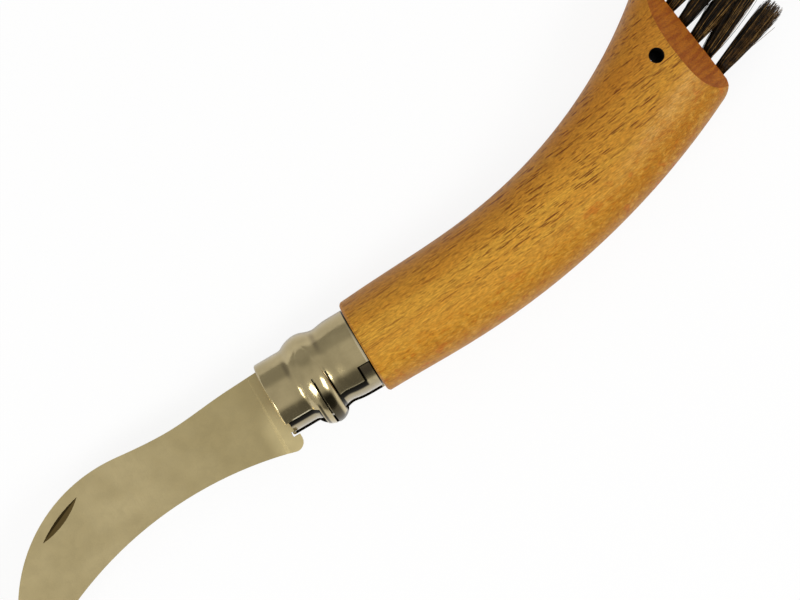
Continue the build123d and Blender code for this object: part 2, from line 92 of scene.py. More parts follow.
# Wood: dark flecks on the spine's side, weaker in places and towards the collar
FLECKS = (
    Dashes((10.0, 0.60, 2.6), 0.26, 1.0),
    Dashes((4.8, 0.50, 1.8), 0.28, 1.0),
    Dashes((2.5, 0.36, 1.2), 0.31, 0.8),
)
FLECK_EDGE = 0.18
FLECK_DEPTH = (0.15, 0.88, 0.20, 1.0)
FLECK_SIDE = (7.0, -1.0)
FLECK_SCATTER = Pattern((13, 3.5, 9), 1.0, 0.5)
FLECK_SHARE = (0.25, 0.50, 0.45, 1.0)
FLECK_FRONT = (-8.0, -52.0, 0.60, 1.0)
FLECK_STRENGTH = 0.95
FLECK_COLOUR = (110, 53, 3)

# Wood: the mottled side that the cutting edge folds into, and a pale painted highlight on it near the brush
FLAKE_SIDE = (0.0, 7.0)
FLAKE = Pattern((1.9, 0.95, 4.0), 3.0, 0.65)
PALE_LAYER = Layer(0.50, 0.66, 0.38, (222, 170, 72))
DEEP_LAYER = Layer(0.46, 0.32, 0.70, (170, 100, 18))
SPOT = Pattern((3.6, 2.4, 6.0), 1.0, 0.5)
SPOT_LAYER = Layer(0.62, 0.72, 0.55, (184, 98, 18))
PAINTED_HIGHLIGHT_ALONG = (-62.0, -84.0)
PAINTED_HIGHLIGHT_ACROSS = (2.5, 5.5, 2.5)
PAINTED_HIGHLIGHT_FLAKE = (0.36, 0.60, 0.35, 1.0)
PAINTED_HIGHLIGHT_STRENGTH = 0.40
PAINTED_HIGHLIGHT_COLOUR = (226, 178, 106)

# Wood: brown end grain, where the brush end cuts across the grain
END_GRAIN_ALONG = (-60.0, -65.0, 0.25, 1.0)
END_GRAIN_FACING = (0.58, 0.64)
RINGS = Pattern((9, 0.9, 4), 2.0, 0.55)
PORES = Pattern((0.5, 0.30, 3.6), 2.0, 0.6)
END_GRAIN = (170, 98, 16)
RING_LAYER = Layer(0.36, 0.64, 1.0, (146, 74, 6))
PORE_LAYER = Layer(0.45, 0.70, 0.35, (128, 62, 8))

# Wood: its lanyard hole, whose wall is painted near-black as shadow, its varnish and relief
HOLE_RADIUS = 1.65
HOLE_MARGIN = 0.08
HOLE_EDGE = 0.02
HOLE_PAINTED_SHADOW_COLOUR = (6, 3, 2)
HOLE_ROUGHER = 0.4
VARNISH = (0.3, 0.7, 0.40, 0.50)
VARNISH_SPECULAR = 0.2
FIBRE_HEIGHT = 0.3
WOOD_RELIEF = 0.03
WOOD_RELIEF_STRENGTH = 0.7

# Collar: its edges as places along X and as angles from +Z towards +Y
FERRULE_REAR = 0.05
SEAM_END = 0.36
SEAM_EDGE = 0.06
LIP_START = 22.4
CUT_FACING = (0.20, 0.06)
GAP_START = 40.0
NOTCH_START = 17.0
NOTCH_DEPTH = 3.2
TAB_REAR = 9.6
TAB_FRONT = 15.0
TAB_END = 82.0
REAR_SLIT = 9.6
FRONT_SLIT = 12.9

# Further along X in millimetres, and further around in degrees, than the collar reaches
BEYOND = 400.0


def soft(low, high, edge):
    """Edges of a mark from low to high with equally soft ends."""
    return (low - edge, low + edge, high - edge, high + edge)


def after(start, full):
    """Edges of a mark that comes in from start to full and goes on."""
    return (start, full, BEYOND, BEYOND + 1)


def until(full, end):
    """Edges of a mark that is full up to a place and ends after it."""
    return (-BEYOND - 1, -BEYOND, full, end)


# Collar: painted shadow on the ferrule along the edges of the lock ring, in its gap and notch and beside its tab
BELOW_GAP = (GAP_START - 3, GAP_START - 1, GAP_START + 13.3, GAP_START + 19)
BESIDE_TAB = soft(-3, TAB_END + 4, 1.2)
NOTCH_SIDE = soft(NOTCH_START - 2, NOTCH_START + 3, 0.8)
NOTCH_FLOOR = soft(NOTCH_START - 2, GAP_START + 6, 1.2)
FERRULE_PAINTED_SHADOW = (
    Mark((2.5, 3.0, TAB_REAR - 0.2, TAB_REAR), BELOW_GAP, 1.0),
    Mark(after(TAB_FRONT, TAB_FRONT + 0.2), BELOW_GAP, 1.0),
    Mark(until(NOTCH_DEPTH, NOTCH_DEPTH + 0.3), NOTCH_SIDE, 1.0),
    Mark(soft(NOTCH_DEPTH - 0.5, NOTCH_DEPTH + 0.5, SOFT_EDGE), NOTCH_FLOOR, 1.0),
    Mark(soft(TAB_REAR - 0.5, TAB_REAR + 0.5, 0.12), BESIDE_TAB, 1.0),
    Mark(soft(TAB_FRONT - 0.5, TAB_FRONT + 0.5, 0.12), BESIDE_TAB, 1.0),
)

# Collar: painted shade on the ferrule in the notch, brown, fading towards the gap
NOTCH_PAINTED_SHADE = (Mark(until(NOTCH_DEPTH, NOTCH_DEPTH + 0.2), until(GAP_START - 9, GAP_START - 1), 0.6),)

# Collar: painted shade on the lock ring between and along its slits, along the front of its tab and at its end
RING_PAINTED_SHADE = (
    Mark(soft(10.6, FRONT_SLIT, 0.35), after(18, 29), 0.88),
    Mark(soft(REAR_SLIT - 0.25, REAR_SLIT + 0.3, 0.12), after(-10, 8), 0.88),
    Mark(soft(TAB_FRONT - 0.75, TAB_FRONT - 0.2, 0.15), soft(32, 78, 4), 0.88),
    Mark(soft(REAR_SLIT - 0.3, FRONT_SLIT, 0.2), after(69.5, 71.5), 0.88),
)

# Collar: painted shade in the hollows at the feet of the ridge, on the spine's side of the lock ring
RIDGE_HOLLOW_SHADE = (
    Mark(soft(16.5, 17.4, 0.5), soft(-46, -16, 10), 0.5),
    Mark(soft(8.1, 9.1, 0.6), soft(-66, -30, 10), 0.5),
)

# Collar: painted highlights on the edges of the lock ring, beside its gap and at its rear
BY_GAP = soft(GAP_START - 2, GAP_START + 1, 0.5)
RING_EDGE_HIGHLIGHTS = (
    Mark(soft(NOTCH_DEPTH + 0.2, TAB_REAR - 0.4, SOFT_EDGE), BY_GAP, 0.3),
    Mark(soft(TAB_FRONT + 1.6, LIP_START - 1.2, 0.5), BY_GAP, 1.0),
    Mark(until(SEAM_END + 0.2, SEAM_END + 0.5), after(-60, 10), 0.7),
)

# Collar: its colours, its painted shade and highlights, and how much polish and metallic shine it loses
RING_SPINE_SIDE_SHADE = Layer(-36.0, -58.0, 0.55, (152, 137, 101))
RING_SPINE_DULL = (-38.0, -62.0, 0.0, 0.7)
RIDGE_HOLLOW_SHADE_COLOUR = (92, 78, 54)
RING_PAINTED_SHADE_COLOUR = (22, 18, 11)
RING_EDGE_HIGHLIGHT_COLOUR = (226, 216, 184)
RING_EDGE_HIGHLIGHT_DULL = 0.7
NOTCH_PAINTED_SHADE_COLOUR = (104, 88, 66)
FERRULE_EDGE_SIDE_SHADE = Layer(42.0, 60.0, 0.5, (132, 118, 82))
FERRULE_PAINTED_SHADOW_COLOUR = (20, 17, 10)

# Blade: painted shade towards the ring, darker towards the tip, painted light on the heel, and painted shade on
# the walls of the nail nick
BLADE_RING_SHADE = Layer(70.0, 30.0, 0.6, (174, 158, 112))
BLADE_TIP_LAYER = Layer(60.0, 80.0, 0.5, (176, 161, 119))
HEEL_PAINTED_LIGHT = Layer(30.0, 25.5, 1.0, (216, 199, 148))
HEEL_SIDE = (-1.0, 6.0)
NICK_FROM = (40.0, 41.0)
NICK_WALL_FACING = (0.70, 0.965, 0.005)
NICK_SHADE_STRENGTH = 0.85
NICK_SHADE_COLOUR = (84, 64, 22)

# Steels, and what all of them share
STEELS = {
    "ring_steel": Steel((197, 180, 133), (174, 158, 114), (0.15, 0.24), (6.0, 0.10, 0.10), 0.002, 7.0),
    "ferrule_steel": Steel((190, 175, 132), (166, 152, 112), (0.17, 0.28), (6.0, 0.10, 0.10), 0.002, 7.0),
    "blade_steel": Steel((197, 181, 137), (184, 168, 125), (0.34, 0.40), (0.12, 9.0, 9.0), 0.0015, 7.0),
    "pin_steel": Steel((196, 192, 178), (170, 166, 150), (0.25, 0.36), (0.10, 0.10, 5.0), 0.002, 2.0),
    "anchor_wire": Steel((190, 186, 172), (160, 156, 142), (0.30, 0.42), (0.08, 3.0, 3.0), 0.002, 1.0),
}
CLOUD_STEPS = (3.0, 0.55)
CLOUD_TONE = (0.35, 0.65)
LINE_STEPS = (2.0, 0.6)
LINE_TONE = (0.40, 0.75, 0.0, 0.30)
LINE_STRENGTH = 0.8
SMEARS_PER_CLOUD = 4
SMEAR_STEPS = (2.0, 0.6)
SMEAR_TONE = (0.30, 0.70)
COAT_ROUGHNESS = 0.14

# Brush: columns along the strip at the end of the handle, rows across it
STRIP_POINT = (-95.92, -32.6)
STRIP_TILT = 7.9
TUFT_COLUMNS = 6
TUFT_ROWS = 3
COLUMN_START = -2.1
COLUMN_PITCH = 4.42
ROW_PITCH = 3.4
BRISTLE_LEAN = 22.5
COLUMN_LEAN = (0.0, 0.2, 0.4, 0.5, -1.1, 1.0)

# Brush: the hairs of a tuft, gathered in locks, with a few strays
HAIRS_PER_TUFT = 170
HAIR_LENGTH = 19.7
HAIR_RAGGED = 3.6
RAGGED_POWER = 1.6
HAIR_ROOT_SPREAD = 1.12
HAIR_TIP_SPREAD = (2.25, 1.6)
LOCKS_PER_TUFT = 15
LOCK_PULL = 0.5
HAIR_STRAY = 0.28
STRAY_SHARE = 0.035
STRAY_REACH = 1.5
HAIR_BOW = 0.55
HAIR_SUNK = 0.6
HAIR_RINGS = 5
HAIR_SIDES = 3
HAIR_ROOT_RADIUS = 0.095
HAIR_TIP_RADIUS = 0.05
GOLDEN_ANGLE = 137.508
FIRST_TUFT_SEED = 100

# Brush: name, dark and light colour of each tone of hair, and how much earlier the light one comes in
HAIR_TONES = (
    ("bristle_black", (12, 9, 5), (36, 25, 13), 0.0),
    ("bristle_brown", (48, 33, 15), (92, 64, 28), 0.05),
    ("bristle_gold", (112, 80, 36), (176, 138, 76), 0.05),
)
BLACK_HAIR, BROWN_HAIR, GOLD_HAIR = range(len(HAIR_TONES))
HAIR_BLOTCH = Pattern((1.4, 1.4, 1.4), 2.0, 0.6)
HAIR_BLOTCH_TONE = (0.45, 0.75)
HAIR_ROUGHNESS = (0.3, 0.7, 0.34, 0.5)
HAIR_SPECULAR = 0.25

# Brush: share of gold hairs, and of gold and brown ones, in the middle of a tuft, and what it gains outwards
GOLD_SHARE = (0.05, 0.08)
COLOURED_SHARE = (0.24, 0.12)

# Brush: how many times likelier both are on the outer side of the last column
GOLDEN_SIDE = 2.6

# Floor: white to the camera, and mirrored only in part
FLOOR_HALF = 3.0
FLOOR_WHITE = 0.96
FLOOR_ROUGHNESS = 0.9
FLOOR_SPECULAR = 0.1
FLOOR_GLOW = 0.88
FLOOR_MIRRORED = 0.15

# World: its strengths, and the directions between which it changes
WORLD_TINT = (1.0, 0.985, 0.96, 1)
WORLD_ABOVE = 0.60
WORLD_BESIDE = 0.41
WORLD_DARK = 0.15
SPINE_SIDE = (-0.58, -0.76)
SCREEN_SIDE = (0.44, 0.68)
SCREEN_WIDTH = (0.72, 0.55)
SCREEN_FOOT = (0.0, 0.10)

# Soft lamps above the ends of the knife: their directions from it in the knife's frame
SOFTBOXES = {"softbox_tip": (0.66, 0.27, 0.70), "softbox_brush": (-0.66, 0.27, 0.70)}
SOFTBOX_DISTANCE = 1.1
SOFTBOX_SIZE = 0.42
SOFTBOX_POWER = 4.3

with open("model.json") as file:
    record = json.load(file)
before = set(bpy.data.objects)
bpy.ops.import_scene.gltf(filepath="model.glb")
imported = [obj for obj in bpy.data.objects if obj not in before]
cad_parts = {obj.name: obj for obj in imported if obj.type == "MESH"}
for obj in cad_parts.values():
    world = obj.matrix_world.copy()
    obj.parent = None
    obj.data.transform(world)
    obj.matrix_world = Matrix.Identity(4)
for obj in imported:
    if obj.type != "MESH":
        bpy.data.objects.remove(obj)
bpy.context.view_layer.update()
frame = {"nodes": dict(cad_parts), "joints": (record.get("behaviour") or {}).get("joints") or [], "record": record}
joints = {joint["name"]: joint for joint in frame["joints"]}


def knife_origin():
    """Where the front face of the wood meets the axis of the collar."""
    axis_point = Vector(joints["ring_turn"]["pos_m"])
    return Vector((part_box("fixed_ferrule")[0].x - FERRULE_REAR * MM, axis_point.y, axis_point.z))


ORIGIN = knife_origin()


def colour(red, green, blue):
    """Linear colour of a screen colour, by the sRGB curve."""
    def linear(level):
        share = level / FULL_SCREEN
        return share / 12.92 if share <= 0.04045 else ((share + 0.055) / 1.055) ** 2.4

    return (linear(red), linear(green), linear(blue), 1.0)


def new_material(name):
    material = bpy.data.materials.new(name)
    material.use_nodes = True
    return material, material.node_tree, material.node_tree.nodes["Principled BSDF"]


def add(tree, kind, inputs=None, **settings):
    """Adds a node. Each input is a plain value, or the socket that feeds it."""
    node = tree.nodes.new(kind)
    for name, value in settings.items():
        setattr(node, name, value)
    for name, value in (inputs or {}).items():
        if isinstance(value, bpy.types.NodeSocket):
            tree.links.new(value, node.inputs[name])
        else:
            node.inputs[name].default_value = value
    return node


def maths(tree, operation, *values):
    return add(tree, "ShaderNodeMath", dict(enumerate(values)), operation=operation).outputs[0]


def vector_maths(tree, operation, first, second):
    return add(tree, "ShaderNodeVectorMath", {0: first, 1: second}, operation=operation).outputs["Vector"]


def times(tree, *values):
    product = values[0]
    for value in values[1:]:
        product = maths(tree, "MULTIPLY", product, value)
    return product


def most(tree, *masks):
    largest = masks[0]
    for mask in masks[1:]:
        largest = maths(tree, "MAXIMUM", largest, mask)
    return largest


def distance(tree, first, second):
    """Length of a line with these two sides."""
    return maths(tree, "SQRT", maths(tree, "ADD", times(tree, first, first), times(tree, second, second)))


def mix(tree, factor, first, second, blend="MIX"):
    inputs = {0: factor, 6: first, 7: second}
    return add(tree, "ShaderNodeMix", inputs, data_type="RGBA", blend_type=blend).outputs[2]


def between(tree, value, low, high, to_low=0.0, to_high=1.0):
    """Smooth step of a value from low to high."""
    inputs = {"Value": value, "From Min": low, "From Max": high, "To Min": to_low, "To Max": to_high}
    node = add(tree, "ShaderNodeMapRange", inputs, interpolation_type="SMOOTHSTEP")
    return node.outputs["Result"]


def window(tree, value, rise, full, fall, end):
    """Comes in from rise to full, and goes out from fall to end."""
    return times(tree, between(tree, value, rise, full), between(tree, value, fall, end, 1.0, 0.0))


def band(tree, value, low, high, edge=SOFT_EDGE):
    """One from low to high, zero beyond a soft edge at both ends."""
    return window(tree, value, *soft(low, high, edge))


def cover(tree, base, value, layer, *masks):
    """Lays a layer over a base, as strong as the value and the masks make it."""
    share = times(tree, between(tree, value, layer.low, layer.high, 0.0, layer.strength), *masks)
    return mix(tree, share, base, colour(*layer.colour))


def scaled(tree, place, size):
    """Coordinates in which a box of that size is one unit."""
    scale = [1 / (length * MM) for length in size]
    return add(tree, "ShaderNodeMapping", {"Vector": place, "Scale": scale}).outputs["Vector"]


def noise(tree, place, pattern, output="Fac"):
    inputs = {
        "Vector": scaled(tree, place, pattern.size), "Scale": 1.0,
        "Detail": pattern.detail, "Roughness": pattern.roughness,
    }
    return add(tree, "ShaderNodeTexNoise", inputs).outputs[output]


def flecks(tree, place, dashes):
    """Short dashes scattered one to a cell, each of its own depth."""
    cells = add(tree, "ShaderNodeTexVoronoi", {"Vector": scaled(tree, place, dashes.size), "Scale": 1.0})
    inner, outer = dashes.reach * (1 - FLECK_EDGE), dashes.reach * (1 + FLECK_EDGE)
    dash = between(tree, cells.outputs["Distance"], inner, outer, 1.0, 0.0)
    own = add(tree, "ShaderNodeSeparateColor", {"Color": cells.outputs["Color"]}).outputs["Red"]
    return times(tree, dash, between(tree, own, *FLECK_DEPTH), dashes.strength)


def object_place(tree):
    return add(tree, "ShaderNodeTexCoord").outputs["Object"]


def knife_place(tree):
    """X, Y and Z in millimetres from the front face of the wood, on the axis of the collar."""
    moved = vector_maths(tree, "SUBTRACT", object_place(tree), ORIGIN)
    return add(tree, "ShaderNodeSeparateXYZ", {"Vector": scaled(tree, moved, (1, 1, 1))}).outputs


def facing(tree, direction):
    """How far the surface faces a direction, from -1 to 1."""
    inputs = {0: add(tree, "ShaderNodeTexCoord").outputs["Normal"], 1: direction}
    return add(tree, "ShaderNodeVectorMath", inputs, operation="DOT_PRODUCT").outputs["Value"]


def bump(tree, height, relief, strength):
    inputs = {"Height": height, "Distance": relief * MM, "Strength": strength}
    return add(tree, "ShaderNodeBump", inputs).outputs["Normal"]


def handle_drop(tree):
    """How far the middle line of the curved handle has dropped below the collar's axis."""
    past = maths(tree, "MINIMUM", maths(tree, "SUBTRACT", knife_place(tree)["X"], CURVE_START), 0.0)
    return maths(tree, "DIVIDE", times(tree, past, past), 2 * CURVE_RADIUS)


def grain_place(tree):
    """Coordinates whose X runs along the grain, bending a little with the handle and swaying."""
    bend = add(tree, "ShaderNodeCombineXYZ", {"Y": times(tree, handle_drop(tree), GRAIN_BEND * MM)})
    bent = vector_maths(tree, "ADD", object_place(tree), bend.outputs["Vector"])
    turn = (0, 0, math.radians(-GRAIN_TURN))
    straight = add(tree, "ShaderNodeMapping", {"Vector": bent, "Rotation": turn}).outputs["Vector"]
    sway = vector_maths(tree, "SUBTRACT", noise(tree, straight, SWAY, "Color"), MIDDLE_OF_NOISE)
    shift = vector_maths(tree, "MULTIPLY", sway, (0, SWAY_REACH * MM, SWAY_REACH * MM))
    return vector_maths(tree, "ADD", straight, shift)


def grain_is_cut(tree):
    """One where the brush end cuts across the grain, zero where the surface runs along it."""
    along = (math.cos(math.radians(GRAIN_TURN)), math.sin(math.radians(GRAIN_TURN)), 0)
    cut = between(tree, maths(tree, "ABSOLUTE", facing(tree, along)), *END_GRAIN_FACING)
    return times(tree, cut, between(tree, knife_place(tree)["X"], *END_GRAIN_ALONG))


def lanyard_hole(tree):
    """One on the wall of the lanyard hole."""
    hole = (Vector(frame["record"]["mounts"][0]["pos_m"]) - ORIGIN) / MM
    place = knife_place(tree)
    beside = maths(tree, "SUBTRACT", place["X"], hole.x)
    below = maths(tree, "SUBTRACT", place["Y"], hole.y)
    reach = HOLE_RADIUS + HOLE_MARGIN
    return between(tree, distance(tree, beside, below), reach * (1 + HOLE_EDGE), reach * (1 - HOLE_EDGE))


def wood_flecks(tree, place, across):
    """Strength of the dark flecks: none on the mottled side, and weaker in places and towards the collar."""
    dark = most(tree, *(flecks(tree, place, dashes) for dashes in FLECKS))
    scattered = between(tree, noise(tree, place, FLECK_SCATTER), *FLECK_SHARE)
    side = between(tree, across, *FLECK_SIDE)
    return times(tree, dark, scattered, side, between(tree, knife_place(tree)["X"], *FLECK_FRONT))


def mottled(tree, honey, place, across):
    """Pale and deep flakes and orange spots on the side that the cutting edge folds into, and a pale painted
    highlight there near the brush.
    """
    side = between(tree, across, *FLAKE_SIDE)
    flake = noise(tree, place, FLAKE)
    honey = cover(tree, honey, flake, PALE_LAYER, side)
    honey = cover(tree, honey, flake, DEEP_LAYER, side)
    honey = cover(tree, honey, noise(tree, place, SPOT), SPOT_LAYER, side)
    # Painted highlight: a pale patch near the brush, on the mottled side.
    near_brush = between(tree, knife_place(tree)["X"], *PAINTED_HIGHLIGHT_ALONG)
    painted_highlight = times(tree, band(tree, across, *PAINTED_HIGHLIGHT_ACROSS), near_brush, between(tree, flake, *PAINTED_HIGHLIGHT_FLAKE))
    return mix(tree, times(tree, painted_highlight, PAINTED_HIGHLIGHT_STRENGTH), honey, colour(*PAINTED_HIGHLIGHT_COLOUR))


def long_grain(tree, place, across, growth, dark_flecks):
    """Colour of the wood where its surface runs along the grain."""
    honey = cover(tree, colour(*HONEY), growth, GROWTH_LAYER)
    honey = cover(tree, honey, noise(tree, place, STREAK), STREAK_LAYER)
    honey = cover(tree, honey, noise(tree, place, PATCHES), PATCH_LAYER)
    # Painted shade: darker along the spine's side and the edge's side of the handle.
    honey = cover(tree, honey, across, SPINE_EDGE_PAINTED_SHADE)
    honey = cover(tree, honey, across, EDGE_SIDE_PAINTED_SHADE)
    honey = cover(tree, honey, knife_place(tree)["X"], REAR_LAYER)
    honey = mix(tree, times(tree, dark_flecks, FLECK_STRENGTH), honey, colour(*FLECK_COLOUR))
    return mottled(tree, honey, place, across)


def end_grain(tree, place):
    """Colour of the wood where its surface cuts across the grain."""
    brown = cover(tree, colour(*END_GRAIN), noise(tree, place, RINGS), RING_LAYER)
    return cover(tree, brown, noise(tree, place, PORES), PORE_LAYER)


def make_beech():
    material, tree, shader = new_material("beech")
    place = grain_place(tree)
    across = maths(tree, "ADD", knife_place(tree)["Y"], handle_drop(tree))
    growth = noise(tree, place, GROWTH)
    fibre = noise(tree, place, FIBRE)
    dark_flecks = wood_flecks(tree, place, across)
    hole = lanyard_hole(tree)

    honey = long_grain(tree, place, across, growth, dark_flecks)
    surface = mix(tree, grain_is_cut(tree), honey, end_grain(tree, place))
    fine = between(tree, fibre, *FIBRE_TONE)
    tone = add(tree, "ShaderNodeCombineColor", {"Red": fine, "Green": fine, "Blue": fine}).outputs["Color"]
    surface = mix(tree, 1.0, surface, tone, "MULTIPLY")
    # Painted shadow: the wall of the lanyard hole is near-black.
    tree.links.new(mix(tree, hole, surface, colour(*HOLE_PAINTED_SHADOW_COLOUR)), shader.inputs["Base Color"])

    roughness = maths(tree, "ADD", between(tree, growth, *VARNISH), times(tree, hole, HOLE_ROUGHER))
    tree.links.new(roughness, shader.inputs["Roughness"])
    height = maths(tree, "SUBTRACT", times(tree, fibre, FIBRE_HEIGHT), dark_flecks)
    tree.links.new(bump(tree, height, WOOD_RELIEF, WOOD_RELIEF_STRENGTH), shader.inputs["Normal"])
    shader.inputs["Specular IOR Level"].default_value = VARNISH_SPECULAR
    return material


def around_collar(tree):
    """Angle in degrees about the axis of the collar, from +Z towards +Y."""
    place = knife_place(tree)
    return times(tree, maths(tree, "ARCTAN2", place["Y"], place["Z"]), 180 / math.pi)


def marked(tree, marks):
    """Strongest of the marks at each place of the collar."""
    x = knife_place(tree)["X"]
    angle = around_collar(tree)
    return most(tree, *(
        times(tree, window(tree, x, *mark.along), window(tree, angle, *mark.around), mark.strength)
        for mark in marks
    ))


def cut_face_shade(tree):
    """Painted shade: one on the cut faces of the collar's sheet steel and in the seam beside the wood."""
    place = knife_place(tree)
    along_y = times(tree, facing(tree, (0, 1, 0)), place["Y"])
    along_z = times(tree, facing(tree, (0, 0, 1)), place["Z"])
    radius = distance(tree, place["Y"], place["Z"])
    outwards = maths(tree, "DIVIDE", maths(tree, "ADD", along_y, along_z), radius)
    behind_lip = between(tree, place["X"], LIP_START + SOFT_EDGE, LIP_START)
    cut = times(tree, between(tree, outwards, *CUT_FACING), behind_lip)
    return most(tree, cut, between(tree, place["X"], SEAM_END + SEAM_EDGE, SEAM_END))


def dull(tree, shader, shade):
    """Takes the polish away where the shade is one."""
    tree.links.new(maths(tree, "SUBTRACT", 1.0, shade), shader.inputs["Coat Weight"])


def finish_ring(tree, shader, metal):
    """Painted shade on the spine's side, in its hollows and on its cut faces, and painted highlights at its edges.
    """
    angle = around_collar(tree)
    # Painted shade: darker on the spine's side.
    metal = cover(tree, metal, angle, RING_SPINE_SIDE_SHADE)
    # Painted shade in the hollows at the feet of the ridge.
    metal = mix(tree, marked(tree, RIDGE_HOLLOW_SHADE), metal, colour(*RIDGE_HOLLOW_SHADE_COLOUR))
    # Painted shade along the slits, the tab and its end, on the cut faces and in the seam.
    painted_shade = most(tree, marked(tree, RING_PAINTED_SHADE), cut_face_shade(tree))
    dull(tree, shader, most(tree, painted_shade, between(tree, angle, *RING_SPINE_DULL)))
    metal = mix(tree, painted_shade, metal, colour(*RING_PAINTED_SHADE_COLOUR))
    # Painted highlight along the edges beside the gap and at the rear.
    edge_highlight = marked(tree, RING_EDGE_HIGHLIGHTS)
    metallic = maths(tree, "SUBTRACT", 1.0, times(tree, edge_highlight, RING_EDGE_HIGHLIGHT_DULL))
    tree.links.new(metallic, shader.inputs["Metallic"])
    return mix(tree, edge_highlight, metal, colour(*RING_EDGE_HIGHLIGHT_COLOUR))


def finish_ferrule(tree, shader, metal):
    """Painted shade: brown in the notch, darker on the edge's side, and painted shadow along the edges of the lock
    ring.
    """
    # Painted shade: brown in the notch.
    metal = mix(tree, marked(tree, NOTCH_PAINTED_SHADE), metal, colour(*NOTCH_PAINTED_SHADE_COLOUR))
    # Painted shade: darker on the edge's side.
    metal = cover(tree, metal, around_collar(tree), FERRULE_EDGE_SIDE_SHADE)
    # Painted shadow along the edges of the lock ring, on the cut faces and in the seam.
    painted_shade = most(tree, cut_face_shade(tree), marked(tree, FERRULE_PAINTED_SHADOW))
    dull(tree, shader, painted_shade)
    return mix(tree, painted_shade, metal, colour(*FERRULE_PAINTED_SHADOW_COLOUR))


def finish_blade(tree, shader, metal):
    """Painted shade towards the ring, darker towards the tip, painted light on the heel, and painted shade in the
    nail nick.
    """
    place = knife_place(tree)
    # Painted shade towards the ring.
    metal = cover(tree, metal, place["X"], BLADE_RING_SHADE)
    metal = cover(tree, metal, place["X"], BLADE_TIP_LAYER)
    # Painted light on the heel.
    metal = cover(tree, metal, place["X"], HEEL_PAINTED_LIGHT, between(tree, place["Y"], *HEEL_SIDE))
    # Painted shade on the walls of the nail nick.
    walls = band(tree, facing(tree, (0, 0, 1)), *NICK_WALL_FACING)
    nick = times(tree, walls, between(tree, place["X"], *NICK_FROM), NICK_SHADE_STRENGTH)
    return mix(tree, nick, metal, colour(*NICK_SHADE_COLOUR))


def make_steel(name, finish=None):
    """Steel with fine lines in one direction, soft clouds of tone and slightly uneven gloss."""
    steel = STEELS[name]
    smear_size = steel.cloud / SMEARS_PER_CLOUD
    material, tree, shader = new_material(name)
    place = object_place(tree)
    clouds = noise(tree, place, Pattern([steel.cloud] * 3, *CLOUD_STEPS))
    lines = noise(tree, place, Pattern(steel.line_size, *LINE_STEPS))
    smear = noise(tree, place, Pattern([smear_size] * 3, *SMEAR_STEPS))
    metal = mix(tree, between(tree, clouds, *CLOUD_TONE), colour(*steel.light), colour(*steel.dark))
    metal = mix(tree, between(tree, lines, *LINE_TONE), metal, colour(*steel.dark))
    shader.inputs["Metallic"].default_value = 1.0
    if finish:
        metal = finish(tree, shader, metal)
    tree.links.new(metal, shader.inputs["Base Color"])
    tree.links.new(between(tree, smear, *SMEAR_TONE, *steel.roughness), shader.inputs["Roughness"])
    tree.links.new(bump(tree, lines, steel.line_depth, LINE_STRENGTH), shader.inputs["Normal"])
    shader.inputs["Coat Roughness"].default_value = COAT_ROUGHNESS
    return material


def make_bristle(name, dark, light, earlier):
    """Hair colour that changes along and between the hairs."""
    material, tree, shader = new_material(name)
    blotch = noise(tree, object_place(tree), HAIR_BLOTCH)
    low, high = HAIR_BLOTCH_TONE
    tone = mix(tree, between(tree, blotch, low - earlier, high - earlier), colour(*dark), colour(*light))
    tree.links.new(tone, shader.inputs["Base Color"])
    tree.links.new(between(tree, blotch, *HAIR_ROUGHNESS), shader.inputs["Roughness"])
    shader.inputs["Specular IOR Level"].default_value = HAIR_SPECULAR
    return material


def tuft_axes(column, row):
    """Mouth of a tuft hole and its axes: along the strip, across it and out along the hairs."""
    tilt = math.radians(STRIP_TILT)
    lean = math.radians(BRISTLE_LEAN)
    along = COLUMN_START + COLUMN_PITCH * column
    mouth = Vector((
        STRIP_POINT[0] - along * math.sin(tilt),
        STRIP_POINT[1] + along * math.cos(tilt),
        (row - (TUFT_ROWS - 1) / 2) * ROW_PITCH,
    ))
    out = Vector((-math.cos(lean), -math.sin(lean), 0))
    across = Vector((0, 0, 1))
    return ORIGIN + mouth * MM, out.cross(across), across, out


def disc_point(index, count):
    """One of count points spread evenly over a disc of radius one."""
    turn = math.radians(index * GOLDEN_ANGLE)
    reach = math.sqrt((index + 0.5) / count)
    return (reach * math.cos(turn), reach * math.sin(turn))


def lock_point(place):
    """Middle of the lock that a hair at that place of the tuft leans to."""
    locks = [disc_point(index, LOCKS_PER_TUFT) for index in range(LOCKS_PER_TUFT)]
    return min(locks, key=lambda lock: math.hypot(lock[0] - place[0], lock[1] - place[1]))


def hair_line(index, lean, draw):
    """Points of one hair in its tuft's axes: rooted in the hole, bowed, with its own tip."""
    place = disc_point(index, HAIRS_PER_TUFT)
    lock = lock_point(place)
    root = (HAIR_ROOT_SPREAD * place[0], HAIR_ROOT_SPREAD * place[1])
    gathered = [own + (middle - own) * LOCK_PULL for own, middle in zip(place, lock)]
    stray = STRAY_REACH if draw.random() < STRAY_SHARE else HAIR_STRAY
    tip = (
        lean + HAIR_TIP_SPREAD[0] * gathered[0] + draw.gauss(0, stray),
        HAIR_TIP_SPREAD[1] * gathered[1] + draw.gauss(0, stray),
    )
    bow = (draw.gauss(0, HAIR_BOW / 2), draw.gauss(0, HAIR_BOW / 2))
    length = HAIR_LENGTH - HAIR_RAGGED * draw.random() ** RAGGED_POWER
    points = []
    for ring in range(HAIR_RINGS):
        share = ring / (HAIR_RINGS - 1)
        swell = 4 * share * (1 - share)
        x = root[0] + (tip[0] - root[0]) * share + bow[0] * swell
        y = root[1] + (tip[1] - root[1]) * share + bow[1] * swell
        points.append((x, y, -HAIR_SUNK + (length + HAIR_SUNK) * share))
    return points


